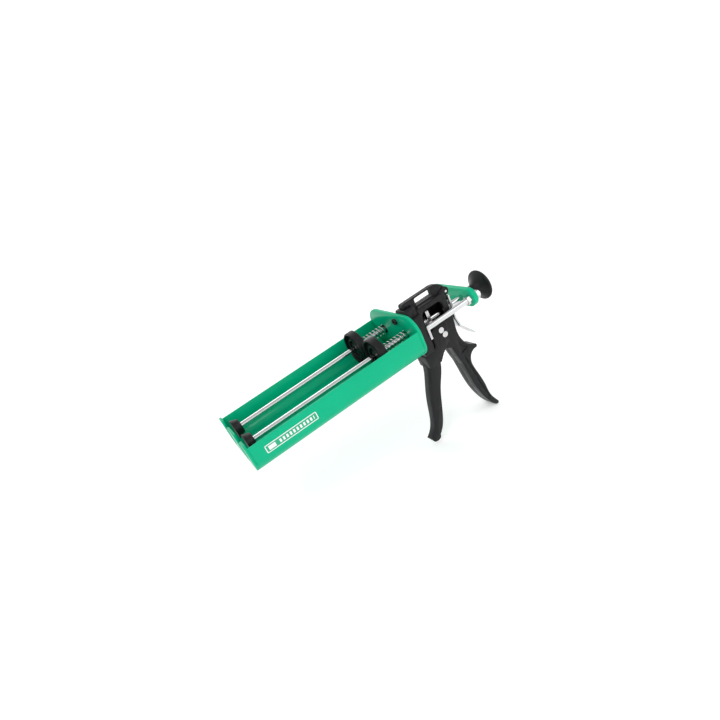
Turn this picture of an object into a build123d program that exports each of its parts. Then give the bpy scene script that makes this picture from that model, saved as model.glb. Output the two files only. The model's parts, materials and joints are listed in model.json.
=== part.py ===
"""Dual-cartridge dispensing gun, built as its separate pieces.

Frame: X runs back from the front plate to the knob, Y to the gun's right, Z up.
Z = 0 is the height of the two push rods. All lengths are in millimetres.
"""
import os

from build123d import *

os.makedirs("parts", exist_ok=True)

# cradle and its two end plates
cradle_len = 235.0
half_width = 55.0
wall_top = 9.0
floor_z = -26.0
sheet = 2.0
corner_r = 16.0
front_t = 3.0
front_top = 13.0
notch_r = 12.0
notch_z = -5.0
rear_t = 4.0
rear_half_w = 55.5
rear_half_h = 27.0
rear_back = cradle_len + rear_t

# push rods, cones and cartridge cups
rod_y = 25.5
rod_r = 3.75
run_gap = 0.08
thread_r = 3.0
cone_front = 4.0
cone_len = 10.0
cone_r1 = 12.5
cone_taper = 19.3
cup_front = 185.0
cup_len = 10.0
cup_r = 22.5
cup_wall = 2.5
cup_recess = 5.0
spring_pocket = 1.5
spring_r = 6.2
spring_wire = 1.4

# yoke, stop bar and knob
yoke_x = 324.0
yoke_t = 7.0
yoke_h = 24.0
yoke_left = -37.5
yoke_right = 26.0
yoke_back = yoke_x + yoke_t
nut_flats = 10.0
nut_t = 6.0
bar_y = -41.2
bar_z = -0.5
bar_r = 4.0
stop_x = 253.0
stop_t = 3.0
washer_t = 1.5
knob_x = yoke_back + washer_t

# handle: everything is centred on the left rod
mid_y = -rod_y
half_body = 11.2
half_cavity = 8.0
half_rib = 3.5
half_lug = 5.5
rib_top = 37.3
block_back = 252.7
shell_front = 253.0
cavity_front = 257.0
cavity_back = 292.5
shell_back = 297.0
pivot = (276.0, -22.0)
drive_pin_at = (273.0, -14.5)
drive_pin_end = (270.1, -16.5)
pin_r = 2.5
pin_head_r = 3.7
cheek_in = 11.5
cheek_out = 13.1
lever_half = 7.5
lever_wall = 1.6
lever_round = 4.0
head_round = 4.0
release_hinge = (303.0, 21.5)
release_x = 301.9
release_t = 2.2

# where the handle screws go through the rear plate, as (Y, Z)
plate_screw_at = [(-12.0, 17.0), (-39.0, -17.0)]
# where the screws that hold the two handle halves go, as (X, Z)
shell_screw_at = [(287.0, -38.0), (293.5, -74.0), (303.5, -134.0)]

left_axis = (mid_y, 0.0)
right_axis = (rod_y, 0.0)


def yz(x):
    """Plane across the gun at the given X, seen from behind."""
    return Plane.YZ.offset(x)


def side(y):
    """Plane along the gun at the given Y; its normal points to the left."""
    return Plane.XZ.offset(-y)


def across(centre, radius, y0, y1):
    """Straight pin across the gun at (X, Z), added to the open part."""
    with BuildSketch(side(y1)) as disc:
        with Locations(centre):
            Circle(radius)
    extrude(disc.sketch, amount=y1 - y0)


def bore_across(centre, radius, y0, y1):
    """Straight hole across the gun at (X, Z), cut from the open part."""
    with BuildSketch(side(y1)) as disc:
        with Locations(centre):
            Circle(radius)
    extrude(disc.sketch, amount=y1 - y0, mode=Mode.SUBTRACT)


def along(centre, radius, x0, x1, mode=Mode.ADD):
    """Round bar or hole along the gun at (Y, Z)."""
    with BuildSketch(yz(x0)) as disc:
        with Locations(centre):
            Circle(radius)
    extrude(disc.sketch, amount=x1 - x0, mode=mode)


def coil(centre, radius, wire, turns, x0, x1):
    """Round-wire compression spring along X between two faces."""
    length = x1 - x0 - wire
    start = (x0 + wire / 2, centre[0], centre[1])
    with BuildLine():
        path = Helix(length / turns, length, radius, center=start, direction=(1, 0, 0))
    with BuildSketch(Plane(origin=path @ 0, z_dir=path % 0)) as section:
        Circle(wire / 2)
    sweep(section.sketch, path=path, is_frenet=True)


# ---- cradle ------------------------------------------------------------------
with BuildPart() as cradle:
    with BuildSketch(yz(0)) as trough_out:
        with Locations((0, (wall_top + floor_z) / 2)):
            Rectangle(2 * half_width, wall_top - floor_z)
        fillet(trough_out.vertices().group_by(Axis.Y)[0], corner_r)
    extrude(amount=cradle_len)
    with BuildSketch(yz(0)) as trough_in:
        with Locations((0, (wall_top + floor_z) / 2 + sheet)):
            Rectangle(2 * (half_width - sheet), wall_top - floor_z)
        fillet(trough_in.vertices().group_by(Axis.Y)[0], corner_r - sheet)
    extrude(amount=cradle_len, mode=Mode.SUBTRACT)

with BuildPart() as front_plate:
    with BuildSketch(yz(-front_t)) as front_outline:
        with Locations((0, (front_top + floor_z) / 2)):
            Rectangle(2 * half_width, front_top - floor_z)
        fillet(front_outline.vertices().group_by(Axis.Y)[0], corner_r)
        fillet(front_outline.vertices().group_by(Axis.Y)[-1], 5)
        with Locations((-rod_y, notch_z), (rod_y, notch_z)):
            Circle(notch_r, mode=Mode.SUBTRACT)
        with Locations((-rod_y, front_top), (rod_y, front_top)):
            Rectangle(2 * notch_r, 2 * (front_top - notch_z), mode=Mode.SUBTRACT)
    extrude(amount=front_t)

with BuildPart() as rear_plate:
    with BuildSketch(yz(cradle_len)) as rear_outline:
        Rectangle(2 * rear_half_w, 2 * rear_half_h)
        fillet(rear_outline.vertices().group_by(Axis.Y)[-1], 23)
        fillet(rear_outline.vertices().group_by(Axis.Y)[0], 18)
        with Locations(left_axis):
            Circle(rod_r + 1, mode=Mode.SUBTRACT)
        with Locations(right_axis):
            Circle(6, mode=Mode.SUBTRACT)
        with Locations(*plate_screw_at):
            Circle(2.1, mode=Mode.SUBTRACT)
    extrude(amount=rear_t)

with BuildPart() as plate_screws:
    for spot in plate_screw_at:
        along(spot, 4.2, cradle_len - 2.6, cradle_len)
        along(spot, 2.0, cradle_len, cradle_len + 13)
        with BuildSketch(yz(cradle_len - 2.6)):
            with Locations(spot):
                RegularPolygon(1.7, 6)
        extrude(amount=1.4, mode=Mode.SUBTRACT)

with BuildPart() as rod_bushing:
    along(right_axis, 6.0, cradle_len, rear_back)
    along(right_axis, 10.0, rear_back, rear_back + 4)
    along(right_axis, rod_r + run_gap, cradle_len, rear_back + 4, Mode.SUBTRACT)

with BuildPart() as side_label:
    with BuildSketch(side(-half_width)):
        with Locations((50, -4.5)):
            RectangleRounded(68, 9.5, 1.5)
    extrude(amount=0.4)

# ---- handle ------------------------------------------------------------------
with BuildPart() as guide_block:
    with BuildSketch(yz(rear_back)) as block_outline:
        with Locations((mid_y, -5.5)):
            Rectangle(37, 51)
        with Locations((mid_y, 20)):
            Rectangle(24, 22)
        fillet(block_outline.vertices().group_by(Axis.Y)[0], 2.5)
        fillet(block_outline.vertices().group_by(Axis.Y)[-1], 5)
    extrude(amount=block_back - rear_back)
    along(left_axis, rod_r + run_gap, rear_back, block_back, Mode.SUBTRACT)
    for spot in plate_screw_at:
        along(spot, 2.1, rear_back, cradle_len + 13.2, Mode.SUBTRACT)


def body_outline():
    """Side view of the handle: body above, grip with its horn and foot below."""
    with BuildSketch(side(mid_y)) as outline:
        with BuildLine():
            front = Line((shell_front, -31), (shell_front, 24.5))
            top = Line(front @ 1, (291, 24.5))
            shoulder = ThreePointArc(top @ 1, (295.3, 22.8), (shell_back, 18.5))
            back = Line(shoulder @ 1, (shell_back, -10))
            web = Spline(
                back @ 1, (295.5, -28), (299, -46), (306, -55.5), (314, -60.5), tangents=((0, -1), (1, -0.5))
            )
            horn = JernArc(web @ 1, web % 1, 2.6, -155)
            throat = Spline(horn @ 1, (300, -84), tangents=(horn % 1, (0.15, -1)))
            palm = Spline(
                throat @ 1, (302.8, -97), (307.3, -119), (310.8, -141), (317.2, -153.5), tangents=((0.15, -1), (0.6, -1))
            )
            foot = JernArc(palm @ 1, palm % 1, 2.8, -150)
            fingers = Spline(
                foot @ 1, (305, -147), (297, -128), (291.3, -104), (287, -74), (280.5, -46),
                tangents=(foot % 1, (-0.2, 1))
            )
            Line(fingers @ 1, front @ 0)
        make_face()
    return outline


def housing_blank():
    """Left moulded half of the handle, before its window and screw holes."""
    with BuildPart() as half:
        extrude(body_outline().sketch, amount=half_body)
        fillet(half.faces().sort_by(Axis.Y)[0].edges(), 2)
        with BuildSketch(side(mid_y)):
            with BuildLine():
                Polyline((298, 18), (shell_front, 20), (shell_front, 31), (241, 31), (241, rib_top - 2.5))
                ThreePointArc((241, rib_top - 2.5), (241.8, rib_top - 0.7), (243.6, rib_top))
                Line((243.6, rib_top), (287, rib_top))
                ThreePointArc((287, rib_top), (300.5, 31.5), (307, 17.5))
                Line((307, 17.5), (298, 18))
            make_face()
        extrude(amount=half_rib)
        # lug that carries the release plate's hinge
        with BuildSketch(side(mid_y)):
            with Locations((301.5, 22.5)):
                Circle(5.5)
            with Locations((291, 19)):
                Circle(5)
            make_hull()
        extrude(amount=half_lug)
        # slot through the rib
        with BuildSketch(side(mid_y)):
            with Locations((272.5, 30.6)):
                RectangleRounded(25, 9.8, 2)
        extrude(amount=half_lug, mode=Mode.SUBTRACT)
        # hollow for the drive plates
        with BuildSketch(side(mid_y)):
            with Locations(((cavity_front + cavity_back) / 2, -5.5)):
                Rectangle(cavity_back - cavity_front, 49)
        extrude(amount=half_cavity, mode=Mode.SUBTRACT)
        # slot that the drive pin swings in
        with BuildSketch(side(mid_y)):
            with Locations(drive_pin_at, drive_pin_end):
                Circle(pin_r + 0.4)
            make_hull()
        extrude(amount=half_body, mode=Mode.SUBTRACT)
        with BuildSketch(side(mid_y)):
            with Locations(pivot):
                Circle(pin_r)
            with Locations(release_hinge):
                Circle(1.5)
        extrude(amount=half_body, mode=Mode.SUBTRACT)
        # fork for the release plate
        with BuildSketch(side(mid_y)):
            with Locations((304.4, 20.5)):
                Rectangle(9.4, 13)
        extrude(amount=3, mode=Mode.SUBTRACT)
        along(left_axis, rod_r + 0.5, shell_front, cavity_front, Mode.SUBTRACT)
        along(left_axis, rod_r + run_gap, cavity_back, shell_back, Mode.SUBTRACT)
        # sunk panel beside the horn and groove down the grip
        with BuildSketch(side(mid_y - half_body)) as panel:
            Polygon((289, -43), (302, -57), (290.5, -60), align=None)
            fillet(panel.vertices(), 1.2)
        extrude(amount=-1.6, mode=Mode.SUBTRACT)
        with BuildSketch(side(mid_y - half_body)):
            with BuildLine():
                Spline((292, -66), (296, -88), (300.5, -114), (307, -139))
            trace(line_width=2.4)
        extrude(amount=-1.2, mode=Mode.SUBTRACT)
    return half.part


blank = housing_blank()

with BuildPart() as housing_left:
    add(blank)
    # arched side window
    with BuildSketch(side(mid_y)) as window:
        with Locations((273.4, 6.8)):
            Rectangle(31.2, 23.4)
        fillet(window.vertices().group_by(Axis.Y)[-1], 7)
    extrude(amount=half_body, mode=Mode.SUBTRACT)
    for spot in shell_screw_at:
        bore_across(spot, 1.6, mid_y - 8, mid_y)

with BuildPart() as housing_right:
    add(blank.mirror(side(mid_y)))
    for spot in shell_screw_at:
        bore_across(spot, 3.1, mid_y + half_body - 2.2, mid_y + half_body)
        bore_across(spot, 1.6, mid_y, mid_y + half_body - 2.2)

with BuildPart() as housing_screws:
    screw_face = mid_y + half_body
    for spot in shell_screw_at:
        across(spot, 3.0, screw_face - 2.2, screw_face - 0.2)
        across(spot, 1.5, mid_y - 7.5, screw_face - 2.2)
        with BuildSketch(side(screw_face - 0.2)):
            with Locations(spot):
                Rectangle(4.4, 0.9)
                Rectangle(0.9, 4.4)
        extrude(amount=1.0, mode=Mode.SUBTRACT)

with BuildPart() as pivot_pin:
    across(pivot, pin_r - 0.05, mid_y - cheek_out - 0.3, mid_y + cheek_out + 0.3)
    across(pivot, pin_head_r, mid_y - cheek_out - 1.3, mid_y - cheek_out - 0.3)
    across(pivot, pin_head_r, mid_y + cheek_out + 0.3, mid_y + cheek_out + 1.3)

with BuildPart() as release_pin:
    across(release_hinge, 1.45, mid_y - half_lug, mid_y + half_lug)

# ---- trigger and drive -------------------------------------------------------
with BuildPart() as lever:
    with BuildSketch(side(mid_y)):
        with BuildLine():
            Spline((241, -49.5), (239.3, -59), (234.2, -74), (227.5, -94.5), (223, -114), (217.8, -131), (209, -142.5))
            Spline((209, -142.5), (208.6, -146.8), (212.6, -149.4), (221, -143.5))
            Spline((221, -143.5), (228, -135.3), (233, -125), (240, -104), (247.3, -83.5), (256.5, -65), (260.5, -49.5))
            Line((260.5, -49.5), (241, -49.5))
        make_face()
    extrude(amount=lever_half, both=True)
    long_edges = lever.edges().filter_by(GeomType.BSPLINE).filter_by(lambda e: e.length > 30)
    fillet(long_edges.filter_by(lambda e: e.center().X < 232), lever_round)
    with BuildSketch(side(mid_y)):
        with BuildLine():
            Spline((244.5, -49), (242.5, -59.5), (237.4, -75), (230.8, -95.5), (226.4, -114), (222.8, -128))
            Polyline((222.8, -128), (232, -134), (266, -134), (266, -49), (244.5, -49))
        make_face()
    extrude(amount=lever_half - lever_wall, both=True, mode=Mode.SUBTRACT)

with BuildPart() as trigger:
    with BuildSketch(side(mid_y)):
        with BuildLine():
            Polyline((241.5, -51.5), (241, -36), (244, -32), (255.5, -32), (258.5, -29), (259, -12), (263, -7.5))
            Polyline((263, -7.5), (282, -7.5), (284, -10), (279, -33), (266, -43), (258.5, -51.5), (241.5, -51.5))
        make_face()
    extrude(amount=cheek_out, both=True)
    fillet(trigger.edges().filter_by(lambda e: e.center().X < 242 and abs(e.center().Y - mid_y) > cheek_in), head_round)
    with BuildSketch(side(mid_y)):
        with Locations((272.25, -26.5)):
            Rectangle(55.5, 44)
    extrude(amount=cheek_in, both=True, mode=Mode.SUBTRACT)
    add(lever.part)
    bore_across(pivot, pin_r, mid_y - cheek_out, mid_y + cheek_out)
    bore_across(drive_pin_at, pin_r, mid_y - cheek_out, mid_y + cheek_out)

with BuildPart() as drive_pin:
    across(drive_pin_at, pin_r, mid_y - cheek_out, mid_y + cheek_out)
    across(drive_pin_at, pin_head_r, mid_y - cheek_out - 1.2, mid_y - cheek_out)
    across(drive_pin_at, pin_head_r, mid_y + cheek_out, mid_y + cheek_out + 1.2)

with BuildPart() as drive_plates:
    for plate_x in (265.8, 268.0):
        with BuildSketch(yz(plate_x)):
            with Locations((mid_y, -1.5)):
                RectangleRounded(13.6, 33, 2)
            with Locations(left_axis):
                Circle(rod_r + 0.7, mode=Mode.SUBTRACT)
        extrude(amount=2.0)

with BuildPart() as drive_spring:
    coil(left_axis, 6.2, 1.3, 3, cavity_front, 265.8)

with BuildPart() as release_plate:
    with BuildSketch(yz(release_x)):
        with Locations((mid_y, 3)):
            RectangleRounded(15, 26, 2)
        with Locations((mid_y, 17)):
            Rectangle(5.4, 8)
        with Locations(left_axis):
            Circle(rod_r + 0.6, mode=Mode.SUBTRACT)
    extrude(amount=release_t)
    across(release_hinge, 2.6, mid_y - 2.7, mid_y + 2.7)
    bore_across(release_hinge, 1.5, mid_y - 2.7, mid_y + 2.7)
    with BuildSketch(side(mid_y)):
        with BuildLine():
            FilletPolyline((303, -8), (302.6, -15), (305.5, -29), (322, -48.5), radius=5)
        trace(line_width=release_t)
    extrude(amount=6.5, both=True)

with BuildPart() as release_spring:
    coil(left_axis, 6.4, 1.1, 3, shell_back, release_x)

# ---- push rods, cones, yoke and knob -----------------------------------------
with BuildPart() as drive_rod:
    along(left_axis, rod_r, cone_front + 3, yoke_x)
    along(left_axis, thread_r, yoke_x, knob_x + 14)

with BuildPart() as follower_rod:
    along(right_axis, rod_r, cone_front + 3, yoke_x)
    along(right_axis, thread_r, yoke_x, yoke_back + nut_t + 2)


def push_cone(axis_at):
    """Tapered pusher on the end of a rod, its wide face to the front."""
    with BuildPart() as cone:
        with BuildSketch(yz(cone_front)):
            with Locations(axis_at):
                Circle(cone_r1)
        extrude(amount=cone_len, taper=cone_taper)
        along(axis_at, rod_r, cone_front + 3, cone_front + cone_len, Mode.SUBTRACT)
    return cone


left_cone = push_cone(left_axis)
right_cone = push_cone(right_axis)

with BuildPart() as yoke:
    with BuildSketch(yz(yoke_x)):
        with Locations(((yoke_left + yoke_right) / 2, 0)):
            SlotCenterToCenter(yoke_right - yoke_left, yoke_h)
        with Locations(left_axis, right_axis, (bar_y, bar_z)):
            Circle(thread_r, mode=Mode.SUBTRACT)
    extrude(amount=yoke_t)
    rims = yoke.faces().filter_by(Axis.X).edges().filter_by(lambda e: e.length > 30)
    fillet(rims, 1.2)

with BuildPart() as stop_bar:
    along((bar_y, bar_z), thread_r, stop_x, stop_x + stop_t)
    along((bar_y, bar_z), bar_r, stop_x + stop_t, yoke_x - nut_t)
    along((bar_y, bar_z), thread_r, yoke_x - nut_t, yoke_back + nut_t + 2)

with BuildPart() as stop_plate:
    with BuildSketch(yz(stop_x)):
        with BuildLine():
            Polyline((-45.2, 3.5), (-37.2, 3.5), (-37.2, -5), (-40.6, -7.5), (-40.6, -15))
            Polyline((-40.6, -15), (-45.2, -15), (-45.2, 3.5))
        make_face()
        with Locations((bar_y, bar_z)):
            Circle(thread_r, mode=Mode.SUBTRACT)
    extrude(amount=stop_t)

with BuildPart() as yoke_nuts:
    nut_seats = [(bar_y, bar_z, yoke_x - nut_t), (bar_y, bar_z, yoke_back), (rod_y, 0.0, yoke_back)]
    for nut_y, nut_z, nut_x in nut_seats:
        with BuildSketch(yz(nut_x)):
            with Locations((nut_y, nut_z)):
                RegularPolygon(nut_flats / 2, 6, major_radius=False)
                Circle(thread_r, mode=Mode.SUBTRACT)
        extrude(amount=nut_t)

with BuildPart() as knob_washer:
    with BuildSketch(yz(yoke_back)):
        with Locations(left_axis):
            Circle(8.5)
            Circle(thread_r, mode=Mode.SUBTRACT)
    extrude(amount=washer_t)

with BuildPart() as pull_knob:
    with BuildSketch(side(mid_y)):
        with BuildLine():
            dome = CenterArc((326.4, 0), 36, 0, 31.5)
            Polyline(dome @ 0, (knob_x + 14, 0), (knob_x + 14, thread_r), (knob_x, thread_r), (knob_x, 9))
            Spline((knob_x, 9), (337.5, 6.8), (344, 7.6), (350, 12.6), (353.6, 19.1))
            ThreePointArc((353.6, 19.1), (355.4, 20), dome @ 1)
        make_face()
    revolve(axis=Axis((0, mid_y, 0), (1, 0, 0)))


# ---- cartridge cups ----------------------------------------------------------
def cartridge_cup(axis_at):
    """Centring cup that slides on a rod and takes the back of a cartridge."""
    floor_x = cup_front + cup_recess
    back_x = cup_front + cup_len
    with BuildPart() as cup:
        along(axis_at, cup_r, cup_front, back_x)
        along(axis_at, cup_r - cup_wall, cup_front, floor_x, Mode.SUBTRACT)
        along(axis_at, 14.0, floor_x - 3.5, floor_x)
        along(axis_at, 11.5, floor_x - 3.5, floor_x, Mode.SUBTRACT)
        along(axis_at, 7.5, floor_x - 2.5, floor_x)
        along(axis_at, spring_r + 2, back_x - spring_pocket, back_x, Mode.SUBTRACT)
        rim = cup.edges().filter_by(GeomType.CIRCLE).filter_by(lambda e: abs(e.radius - cup_r) < 0.01)
        fillet(rim, 1.1)
        along(axis_at, rod_r + run_gap, cup_front, back_x, Mode.SUBTRACT)
    return cup


left_cup = cartridge_cup(left_axis)
right_cup = cartridge_cup(right_axis)

with BuildPart() as left_cup_spring:
    coil(left_axis, spring_r, spring_wire, 8, cup_front + cup_len - spring_pocket, cradle_len)

with BuildPart() as right_cup_spring:
    coil(right_axis, spring_r, spring_wire, 8, cup_front + cup_len - spring_pocket, cradle_len)

# ---- write every piece -------------------------------------------------------
pieces = {
    "cradle": cradle,
    "front_plate": front_plate,
    "rear_plate": rear_plate,
    "plate_screws": plate_screws,
    "rod_bushing": rod_bushing,
    "side_label": side_label,
    "guide_block": guide_block,
    "housing_left": housing_left,
    "housing_right": housing_right,
    "housing_screws": housing_screws,
    "pivot_pin": pivot_pin,
    "release_pin": release_pin,
    "trigger": trigger,
    "drive_pin": drive_pin,
    "drive_plates": drive_plates,
    "drive_spring": drive_spring,
    "release_plate": release_plate,
    "release_spring": release_spring,
    "drive_rod": drive_rod,
    "follower_rod": follower_rod,
    "left_cone": left_cone,
    "right_cone": right_cone,
    "yoke": yoke,
    "stop_bar": stop_bar,
    "stop_plate": stop_plate,
    "yoke_nuts": yoke_nuts,
    "knob_washer": knob_washer,
    "pull_knob": pull_knob,
    "left_cup": left_cup,
    "right_cup": right_cup,
    "left_cup_spring": left_cup_spring,
    "right_cup_spring": right_cup_spring,
}
for name, piece in pieces.items():
    piece.part.label = name
    export_step(piece.part, f"parts/{name}.step")
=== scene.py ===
"""Looks of the dual-cartridge gun: paint, moulded plastic, bright steel, softened edges and a studio."""
import json
import math

import bpy
from mathutils import Matrix, Vector


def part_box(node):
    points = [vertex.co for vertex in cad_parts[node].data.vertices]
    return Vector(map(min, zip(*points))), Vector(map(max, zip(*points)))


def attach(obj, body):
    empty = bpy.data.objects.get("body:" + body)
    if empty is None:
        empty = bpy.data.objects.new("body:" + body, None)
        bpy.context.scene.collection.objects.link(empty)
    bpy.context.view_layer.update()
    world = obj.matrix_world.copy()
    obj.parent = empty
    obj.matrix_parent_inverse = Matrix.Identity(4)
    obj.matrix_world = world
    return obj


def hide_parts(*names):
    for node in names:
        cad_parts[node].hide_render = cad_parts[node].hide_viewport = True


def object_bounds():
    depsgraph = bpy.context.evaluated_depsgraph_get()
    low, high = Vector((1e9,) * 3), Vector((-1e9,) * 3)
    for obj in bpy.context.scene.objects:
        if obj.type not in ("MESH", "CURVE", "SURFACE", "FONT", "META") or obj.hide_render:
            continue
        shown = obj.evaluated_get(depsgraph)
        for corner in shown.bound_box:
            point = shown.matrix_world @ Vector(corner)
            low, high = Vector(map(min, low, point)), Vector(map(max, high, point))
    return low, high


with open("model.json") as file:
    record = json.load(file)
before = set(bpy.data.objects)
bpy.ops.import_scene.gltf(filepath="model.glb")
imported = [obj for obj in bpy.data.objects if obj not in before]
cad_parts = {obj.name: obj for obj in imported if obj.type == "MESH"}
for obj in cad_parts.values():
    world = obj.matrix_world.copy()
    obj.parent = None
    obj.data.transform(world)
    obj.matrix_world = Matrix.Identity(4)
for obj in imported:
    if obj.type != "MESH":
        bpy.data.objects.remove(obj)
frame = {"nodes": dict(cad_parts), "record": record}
cad_low, cad_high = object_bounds()

MM = 0.001
BODIES = frame["record"]["behaviour"]["bodies"]
BODY_OF = {node: body for body, nodes in BODIES.items() for node in nodes}
SLOT_OF = {entry["node"]: entry["material_slot"] for entry in frame["record"]["subparts"]}


# ---- shader helpers ----------------------------------------------------------
class Value:
    """A socket that adds Math nodes when it meets an operator."""

    def __init__(self, finish, socket):
        self.finish = finish
        self.socket = socket

    def _math(self, operation, first, second):
        return self.finish.node("ShaderNodeMath", {"operation": operation}, {0: first, 1: second})

    def __add__(self, other):
        return self._math("ADD", self, other)

    def __radd__(self, other):
        return self._math("ADD", other, self)

    def __sub__(self, other):
        return self._math("SUBTRACT", self, other)

    def __rsub__(self, other):
        return self._math("SUBTRACT", other, self)

    def __mul__(self, other):
        return self._math("MULTIPLY", self, other)

    def __rmul__(self, other):
        return self._math("MULTIPLY", other, self)

    def __truediv__(self, other):
        return self._math("DIVIDE", self, other)

    def __gt__(self, other):
        return self._math("GREATER_THAN", self, other)

    def __lt__(self, other):
        return self._math("LESS_THAN", self, other)

    def modulo(self, other):
        return self._math("FLOORED_MODULO", self, other)


# where a Mix node keeps its factor, its two colours and its result
MIX_FACTOR, MIX_A, MIX_B, MIX_RESULT = 0, 6, 7, 2


class Finish:
    """One material and the nodes that feed its shader."""

    def __init__(self, name, **constants):
        self.material = bpy.data.materials.new(name)
        self.material.use_nodes = True
        self.tree = self.material.node_tree
        self.shader = self.tree.nodes["Principled BSDF"]
        for socket, value in constants.items():
            self.shader.inputs[socket.replace("_", " ")].default_value = value

    def node(self, kind, settings=None, inputs=None, output=0):
        made = self.tree.nodes.new(kind)
        for key, value in (settings or {}).items():
            setattr(made, key, value)
        for key, value in (inputs or {}).items():
            self.plug(value, made.inputs[key])
        return Value(self, made.outputs[output])

    def plug(self, value, socket):
        if isinstance(value, Value):
            self.tree.links.new(value.socket, socket)
        else:
            socket.default_value = value

    def place(self):
        return self.node("ShaderNodeTexCoord", output="Object")

    def axes(self):
        split = self.node("ShaderNodeSeparateXYZ", inputs={0: self.place()})
        parts = split.socket.node.outputs
        return [Value(self, parts[i]) for i in range(3)]

    def stretched(self, scale):
        return self.node("ShaderNodeMapping", inputs={"Vector": self.place(), "Scale": scale})

    def noise(self, scale, detail, vector=None):
        inputs = {"Vector": vector or self.place(), "Scale": scale, "Detail": detail, "Roughness": 0.55}
        return self.node("ShaderNodeTexNoise", inputs=inputs)

    def ramp(self, factor, low, high):
        inputs = {"From Min": low, "From Max": high, "Value": factor}
        return self.node("ShaderNodeMapRange", {"clamp": True}, inputs)

    def mix(self, factor, first, second):
        inputs = {MIX_FACTOR: factor, MIX_A: first, MIX_B: second}
        return self.node("ShaderNodeMix", {"data_type": "RGBA"}, inputs, output=MIX_RESULT)

    def feed(self, **links):
        for socket, value in links.items():
            self.plug(value, self.shader.inputs[socket.replace("_", " ")])

    def bump(self, height, strength, distance):
        inputs = {"Height": height, "Strength": strength, "Distance": distance}
        self.feed(Normal=self.node("ShaderNodeBump", inputs=inputs))


# ---- finishes ----------------------------------------------------------------
def green_paint():
    """Green paint: faint clouding, a fine uneven surface and paler scuffs drawn out along X."""
    paint = Finish("green_paint", Coat_Weight=0.12, Coat_Roughness=0.06, Specular_IOR_Level=0.12)
    cloud = paint.noise(22, 2)
    fleck = paint.noise(1400, 2)
    scuff = paint.ramp(paint.noise(90, 5, paint.stretched((0.25, 1.0, 1.0))), 0.66, 0.74)
    tone = paint.mix(cloud, (0.0, 0.425, 0.215, 1), (0.0, 0.485, 0.250, 1))
    paint.feed(Base_Color=paint.mix(scuff * 0.2, tone, (0.01, 0.53, 0.30, 1)))
    paint.feed(Roughness=0.26 + 0.08 * cloud + 0.18 * scuff)
    paint.bump(fleck + 0.6 * cloud, 0.18, 0.00006)
    return paint.material


def black_plastic():
    """Black moulding: a fine grain, rubbed smoother and paler in patches."""
    plastic = Finish("black_plastic", Specular_IOR_Level=0.26)
    grain = plastic.noise(1900, 3)
    cloud = plastic.noise(45, 2)
    rub = plastic.ramp(plastic.noise(130, 4), 0.60, 0.74)
    tone = plastic.mix(cloud, (0.0055, 0.0055, 0.0065, 1), (0.0095, 0.0095, 0.011, 1))
    plastic.feed(Base_Color=plastic.mix(rub * 0.3, tone, (0.035, 0.035, 0.038, 1)))
    plastic.feed(Roughness=0.34 + 0.10 * grain - 0.06 * rub)
    plastic.bump(grain, 0.35, 0.00008)
    return plastic.material


def bright_rod():
    """Bright bar steel with drawing lines along X."""
    steel = Finish("bright_rod", Metallic=1.0)
    draw = steel.noise(700, 2, steel.stretched((0.002, 1.0, 1.0)))
    haze = steel.noise(60, 2)
    steel.feed(Base_Color=steel.mix(draw, (0.62, 0.63, 0.64, 1), (0.76, 0.765, 0.77, 1)))
    steel.feed(Roughness=0.07 + 0.08 * draw + 0.05 * haze)
    steel.bump(draw, 0.05, 0.00002)
    return steel.material


def zinc_steel():
    """Zinc plate: cloudy, with a faint spangle."""
    zinc = Finish("zinc_steel", Metallic=1.0)
    cells = {"Vector": zinc.place(), "Scale": 700.0}
    spangle = zinc.node("ShaderNodeTexVoronoi", inputs=cells, output="Color")
    cloud = zinc.noise(160, 4)
    tint = zinc.mix(cloud, (0.54, 0.55, 0.56, 1), (0.74, 0.745, 0.75, 1))
    zinc.feed(Base_Color=zinc.mix(0.12, tint, spangle))
    zinc.feed(Roughness=0.16 + 0.16 * cloud)
    zinc.bump(cloud, 0.2, 0.00006)
    return zinc.material


def black_steel():
    """Blackened steel, a little cloudy."""
    oxide = Finish("black_steel", Metallic=0.7)
    cloud = oxide.noise(300, 4)
    oxide.feed(Base_Color=oxide.mix(cloud, (0.02, 0.02, 0.022, 1), (0.07, 0.07, 0.075, 1)))
    oxide.feed(Roughness=0.34 + 0.2 * cloud)
    oxide.bump(cloud, 0.2, 0.00005)
    return oxide.material


# label layout, in fractions of its length and height
BAR_PITCH, BAR_WIDTH = 0.066, 0.036
BARS_ALONG, BARS_UP = (0.26, 0.94), (0.28, 0.72)
BLOCK_ALONG, BLOCK_UP = (0.055, 0.19), (0.24, 0.76)
FIELD_ALONG, FIELD_UP = (0.016, 0.984), (0.10, 0.90)


def between(value, ends):
    low, high = ends
    return (value > low) * (value < high)


def label_print():
    """Green badge with a white border line, a white block and a row of plain white bars."""
    label = Finish("label_print", Coat_Weight=0.2)
    low, high = (Vector(corner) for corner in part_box("side_label"))
    x, _, z = label.axes()
    along = (x - low.x) / (high.x - low.x)
    up = (z - low.z) / (high.z - low.z)
    stripes = along.modulo(BAR_PITCH) < BAR_WIDTH
    bars = stripes * between(along, BARS_ALONG) * between(up, BARS_UP)
    block = between(along, BLOCK_ALONG) * between(up, BLOCK_UP)
    inner = between(along, FIELD_ALONG) * between(up, FIELD_UP)
    ink = bars + block + (1 - inner)
    speck = label.noise(800, 2)
    field = label.mix(speck, (0.0, 0.38, 0.19, 1), (0.0, 0.42, 0.21, 1))
    label.feed(Base_Color=label.mix(ink, field, (0.86, 0.88, 0.88, 1)))
    label.feed(Roughness=0.3 + 0.1 * speck)
    return label.material


FINISH_OF_SLOT = {
    "green_paint": green_paint(),
    "black_plastic": black_plastic(),
    "steel": bright_rod(),
    "zinc": zinc_steel(),
    "black_steel": black_steel(),
    "label": label_print(),
}


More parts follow.
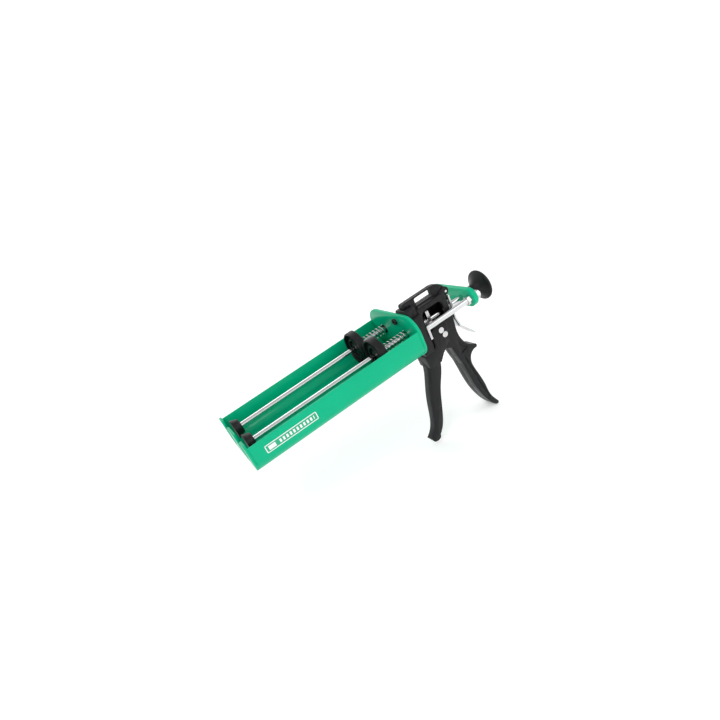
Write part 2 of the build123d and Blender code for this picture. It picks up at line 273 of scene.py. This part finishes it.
def coat(thing, material):
    thing.data.materials.clear()
    thing.data.materials.append(material)


for node, slot in SLOT_OF.items():
    coat(frame["nodes"][node], FINISH_OF_SLOT[slot])


# ---- softened edges ----------------------------------------------------------
MERGE_GAP = 0.002 * MM
FLAT_ANGLE = math.radians(1)
SHARP_ANGLE = math.radians(32)
SMOOTH_ANGLE = math.radians(34)
EDGE_SEGMENTS = 2


def softened(node, width):
    """A merged copy of a CAD piece with its sharp edges broken, standing for that piece."""
    bpy.ops.object.select_all(action="DESELECT")
    source = frame["nodes"][node]
    thing = bpy.data.objects.new(node + "_soft", source.data.copy())
    bpy.context.scene.collection.objects.link(thing)
    thing.select_set(True)
    bpy.context.view_layer.objects.active = thing
    bpy.ops.object.mode_set(mode="EDIT")
    bpy.ops.mesh.select_all(action="SELECT")
    bpy.ops.mesh.remove_doubles(threshold=MERGE_GAP)
    bpy.ops.mesh.dissolve_limited(angle_limit=FLAT_ANGLE)
    bpy.ops.object.mode_set(mode="OBJECT")
    edge = thing.modifiers.new("edge", "BEVEL")
    edge.width = width
    edge.segments = EDGE_SEGMENTS
    edge.limit_method = "ANGLE"
    edge.angle_limit = SHARP_ANGLE
    edge.use_clamp_overlap = True
    bpy.ops.object.modifier_apply(modifier="edge")
    bpy.ops.object.shade_smooth_by_angle(angle=SMOOTH_ANGLE)
    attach(thing, BODY_OF[node])
    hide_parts(node)


# the width of each piece's broken edges, in millimetres
EDGE_WIDTH = {
    "cradle": 0.35,
    "front_plate": 0.6,
    "rear_plate": 0.8,
    "yoke": 0.5,
    "guide_block": 1.2,
    "trigger": 0.7,
    "left_cup": 0.4,
    "right_cup": 0.4,
    "left_cone": 0.6,
    "right_cone": 0.6,
    "pull_knob": 0.5,
    "release_plate": 0.4,
    "stop_plate": 0.4,
    "housing_left": 0.5,
    "housing_right": 0.5,
}
for name, width_mm in EDGE_WIDTH.items():
    softened(name, width_mm * MM)


# ---- studio ------------------------------------------------------------------
FLOOR_R = 2.6
SWEEP_R = 1.8
SWEEP_STEPS = 12
STEP_TURN = math.radians(90) / SWEEP_STEPS
WALL_RISE = 2.2
FLOOR_GLOW = 0.27
SKY_STRENGTH = 0.60
KEY_LIGHT = {"place": (-0.25, -0.75, 1.1), "size": 0.5, "power": 3.2}
FILL_LIGHT = {"place": (1.0, -0.6, 0.6), "size": 0.7, "power": 1.2}
RIM_LIGHT = {"place": (0.3, 0.9, 0.9), "size": 0.6, "power": 2.0}
LENS = 26.31
LENS_SHIFT_X = 0.0561
LENS_SHIFT_Y = 0.0419
CLIP_NEAR = 0.01
CLIP_FAR = 100
EYE = (-0.0275, -0.5579, 0.2601)
EYE_RIGHT = Vector((0.8056, -0.4093, -0.4284))
EYE_UP = Vector((0.5493, 0.2450, 0.7989))


def floor():
    """Pale floor that sweeps up all round into a wall."""
    bpy.ops.object.select_all(action="DESELECT")
    centre = (0, 0, cad_low[2])
    bpy.ops.mesh.primitive_circle_add(vertices=96, radius=FLOOR_R, fill_type="NGON", location=centre)
    ground = bpy.context.active_object
    ground.name = "floor"
    bpy.ops.object.mode_set(mode="EDIT")
    bpy.ops.mesh.select_all(action="SELECT")
    for step in range(SWEEP_STEPS):
        turn = step * STEP_TURN
        turned = turn + STEP_TURN
        rise = SWEEP_R * (math.cos(turn) - math.cos(turned))
        wider = (FLOOR_R + SWEEP_R * math.sin(turned)) / (FLOOR_R + SWEEP_R * math.sin(turn))
        bpy.ops.mesh.extrude_region_move(TRANSFORM_OT_translate={"value": (0, 0, rise)})
        bpy.ops.transform.resize(value=(wider, wider, 1))
    bpy.ops.mesh.extrude_region_move(TRANSFORM_OT_translate={"value": (0, 0, WALL_RISE)})
    bpy.ops.mesh.delete(type="ONLY_FACE")
    bpy.ops.object.mode_set(mode="OBJECT")
    bpy.ops.object.shade_smooth()
    glow = {"Emission_Color": (1, 1, 1, 1), "Emission_Strength": FLOOR_GLOW}
    matte = Finish("floor", Roughness=0.9, **glow)
    cloud = matte.noise(3, 2)
    matte.feed(Base_Color=matte.mix(cloud, (0.90, 0.90, 0.90, 1), (0.92, 0.92, 0.92, 1)))
    coat(ground, matte.material)


def soft_light(name, target, place, size, power):
    """A round lamp at a place, turned to face the target."""
    data = bpy.data.lights.new(name, "AREA")
    data.shape = "DISK"
    data.size = size
    data.energy = power
    light = bpy.data.objects.new(name, data)
    bpy.context.scene.collection.objects.link(light)
    light.location = place
    light.rotation_euler = (Vector(target) - Vector(place)).to_track_quat("-Z", "Y").to_euler()


def surroundings():
    world = bpy.data.worlds.new("studio")
    bpy.context.scene.world = world
    world.use_nodes = True
    sky = world.node_tree.nodes["Background"]
    sky.inputs["Color"].default_value = (1.0, 1.0, 1.0, 1)
    sky.inputs["Strength"].default_value = SKY_STRENGTH


def camera():
    data = bpy.data.cameras.new("camera")
    data.sensor_width = 36
    data.lens = LENS
    data.shift_x = LENS_SHIFT_X
    data.shift_y = LENS_SHIFT_Y
    data.clip_start = CLIP_NEAR
    data.clip_end = CLIP_FAR
    eye = bpy.data.objects.new("camera", data)
    bpy.context.scene.collection.objects.link(eye)
    turn = Matrix((EYE_RIGHT, EYE_UP, EYE_RIGHT.cross(EYE_UP))).transposed().to_4x4()
    eye.matrix_world = Matrix.Translation(EYE) @ turn
    bpy.context.scene.camera = eye


middle = [(a + b) / 2 for a, b in zip(cad_low, cad_high)]
floor()
surroundings()
soft_light("key", middle, **KEY_LIGHT)
soft_light("fill", middle, **FILL_LIGHT)
soft_light("rim", middle, **RIM_LIGHT)
camera()
bpy.context.scene.view_settings.view_transform = "Standard"
